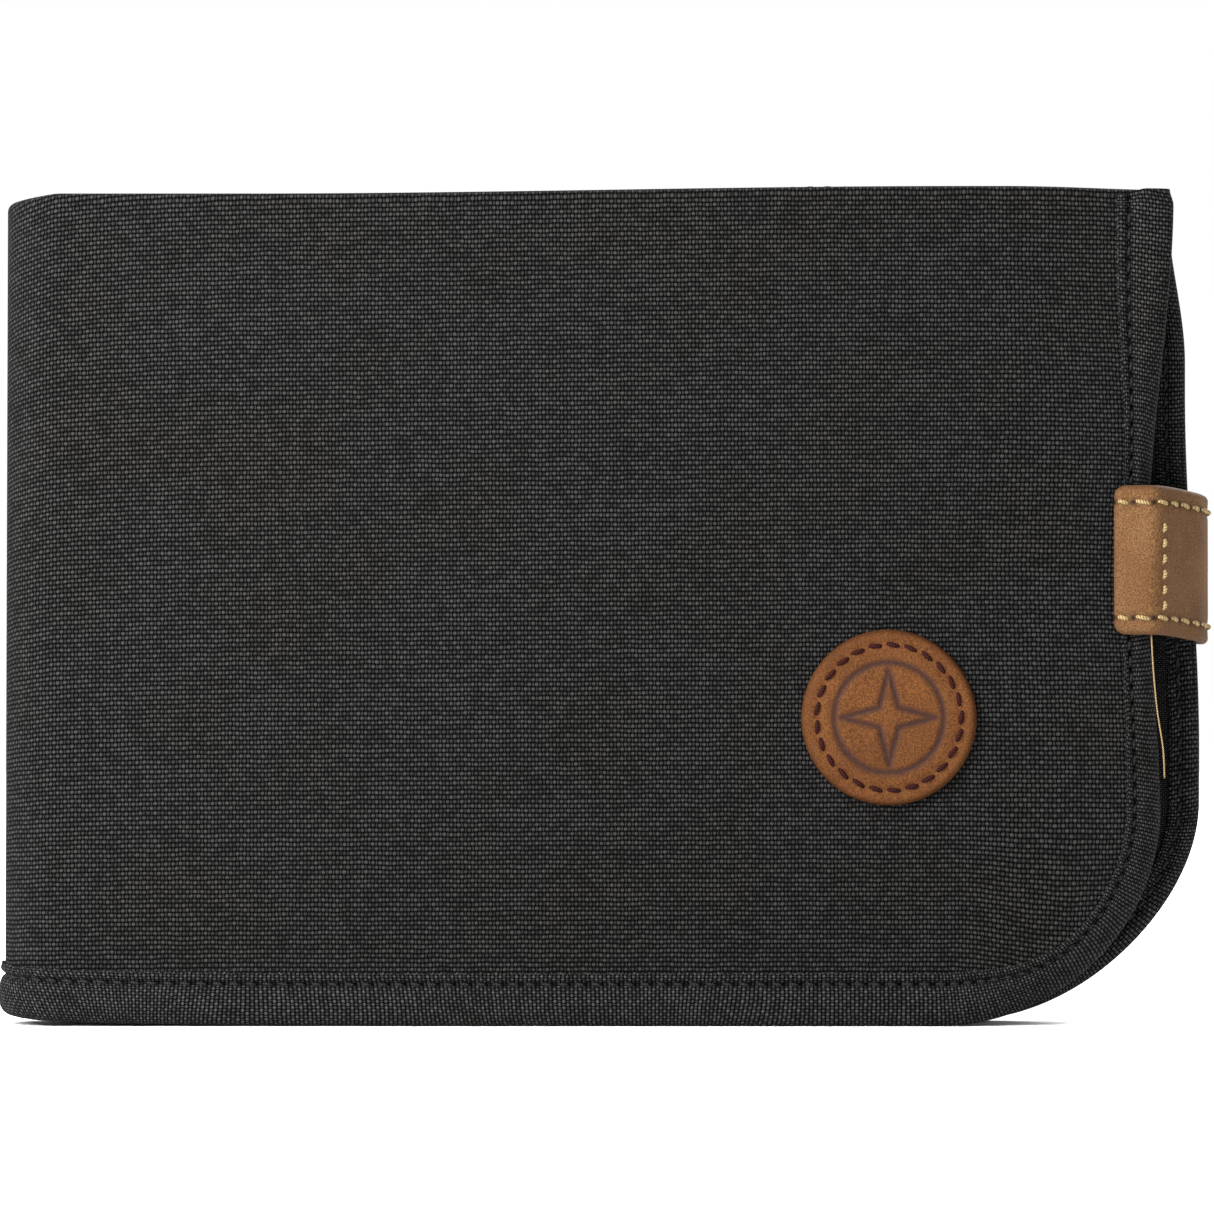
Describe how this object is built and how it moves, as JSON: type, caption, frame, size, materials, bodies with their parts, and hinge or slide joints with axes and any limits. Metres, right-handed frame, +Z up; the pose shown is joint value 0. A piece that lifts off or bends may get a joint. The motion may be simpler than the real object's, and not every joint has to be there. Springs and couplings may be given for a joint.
{
  "type": "passport holder wallet",
  "caption": "Folding canvas wallet for a passport, with bound edges, card slots, a full-length note compartment, a round leather patch and a leather snap strap.",
  "frame": {"origin": "middle of the closed wallet's base, on the surface that its bound bottom edge stands on", "axes": "+X from the rolled spine to the open edge, -Y is the front cover's outer face, +Z up to the open top"},
  "size_m": [0.1524, 0.02, 0.1056],
  "materials": {
    "canvas": "heavy plain weave canvas, dark grey",
    "binding_tape": "woven edge tape, dark grey",
    "lining_fabric": "fine ribbed lining, near black",
    "foam_board": "thin foam board",
    "tan_leather": "vegetable tanned, waxed",
    "dark_thread": "dark burgundy sewing thread",
    "pale_thread": "pale waxed sewing thread",
    "snap_brass": "antique brass",
    "spring_steel": "plain spring wire"
  },
  "bodies": {
    "back": {"back_cover": "canvas", "back_stiffener": "foam_board", "back_lining": "lining_fabric", "back_inner_panel": "lining_fabric", "back_binding": "binding_tape", "passport_pocket_gusset": "lining_fabric", "passport_pocket_face": "lining_fabric", "passport_pocket_hem": "binding_tape", "snap_stud": "snap_brass", "snap_post": "snap_brass"},
    "spine": {"spine_cover": "canvas", "spine_lining": "lining_fabric", "spine_inner_panel": "lining_fabric", "spine_binding": "binding_tape"},
    "front": {"front_cover": "canvas", "front_stiffener": "foam_board", "front_lining": "lining_fabric", "front_inner_panel": "lining_fabric", "front_binding": "binding_tape", "card_slot_1": "lining_fabric", "card_slot_2": "lining_fabric", "card_slot_3": "lining_fabric", "card_slot_4": "lining_fabric", "leather_patch": "tan_leather", "patch_stitching": "dark_thread", "strap_front": "tan_leather", "strap_stitching": "pale_thread"},
    "strap_side": {"strap_side": "tan_leather"},
    "strap_tip": {"strap_tip": "tan_leather", "snap_socket": "snap_brass", "snap_spring": "spring_steel", "snap_cap": "snap_brass"}
  },
  "joints": [
    {"name": "spine_fold_back", "type": "hinge", "parent": "back", "child": "spine", "pos_m": [-0.07415, 0.00358, 0.0528], "axis": [0, 0, -1], "range_deg": [0, 90]},
    {"name": "spine_fold_front", "type": "hinge", "parent": "spine", "child": "front", "pos_m": [-0.07415, -0.00632, 0.0528], "axis": [0, 0, -1], "range_deg": [0, 90]},
    {"name": "strap_bend_front", "type": "hinge", "parent": "front", "child": "strap_side", "pos_m": [0.0708, -0.00907, 0.0581], "axis": [0, 0, -1], "range_deg": [0, 100]},
    {"name": "strap_bend_back", "type": "hinge", "parent": "strap_side", "child": "strap_tip", "pos_m": [0.0755, 0.00843, 0.0581], "axis": [0, 0, -1], "range_deg": [0, 105]}
  ],
  "couplings": [
    {"joint": "spine_fold_front", "follows": "spine_fold_back", "ratio": 1}
  ]
}
